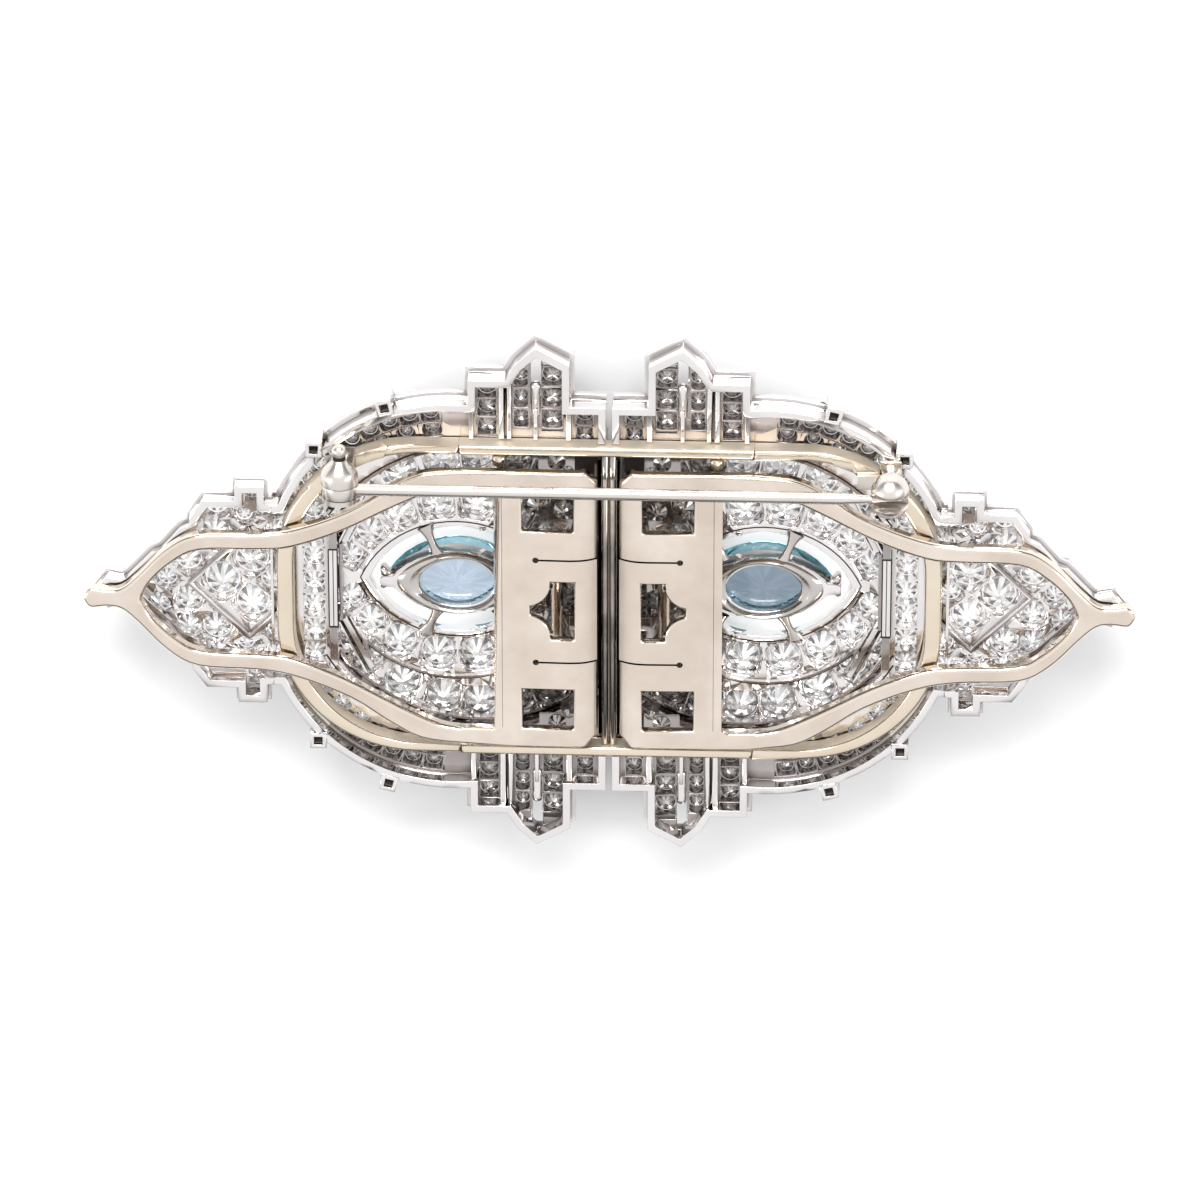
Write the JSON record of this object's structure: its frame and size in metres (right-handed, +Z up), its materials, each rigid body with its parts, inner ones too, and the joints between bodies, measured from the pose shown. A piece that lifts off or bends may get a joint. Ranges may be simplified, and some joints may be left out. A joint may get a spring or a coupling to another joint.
{
  "type": "double clip brooch",
  "caption": "Two mirrored, gem-set dress clips with hinged flaps, held side by side on a brooch frame with a needle pin.",
  "frame": {"origin": "centre of the bounding box's base, under the seam between the clips", "axes": "X along the jewel, Y across it towards the needle pin, Z up from the gems' front to the flaps and pin; it lies face down"},
  "size_m": [0.07, 0.0376, 0.0107],
  "materials": {
    "platinum": "polished",
    "white_gold": "polished, worn",
    "warm_gold": "polished, worn",
    "diamond": "cut and polished",
    "gem": "cut and polished"
  },
  "bodies": {
    "brooch": {"left_mount": "platinum", "left_gem": "gem", "left_arm_stones": "diamond", "left_centre_stones": "diamond", "left_rim_stones": "diamond", "left_flap_rod": "white_gold", "right_mount": "platinum", "right_gem": "gem", "right_arm_stones": "diamond", "right_centre_stones": "diamond", "right_rim_stones": "diamond", "right_flap_rod": "white_gold", "brooch_frame": "warm_gold", "pin_rivet": "warm_gold"},
    "left_flap": {"left_flap": "white_gold"},
    "right_flap": {"right_flap": "white_gold"},
    "pin": {"needle_pin": "white_gold"}
  },
  "joints": [
    {"name": "left_flap_hinge", "type": "hinge", "parent": "brooch", "child": "left_flap", "pos_m": [-0.0015, 0, 0.0056], "axis": [0, 1, 0], "range_deg": [0, 40]},
    {"name": "right_flap_hinge", "type": "hinge", "parent": "brooch", "child": "right_flap", "pos_m": [0.0015, 0, 0.0056], "axis": [0, -1, 0], "range_deg": [0, 40]},
    {"name": "pin_hinge", "type": "hinge", "parent": "brooch", "child": "pin", "pos_m": [-0.0175, 0.01, 0.0095], "axis": [0, -1, 0], "range_deg": [0, 90]}
  ],
  "couplings": [
    {"joint": "right_flap_hinge", "follows": "left_flap_hinge", "ratio": 1},
    {"joint": "pin_hinge", "follows": "left_flap_hinge", "ratio": 2.25}
  ]
}
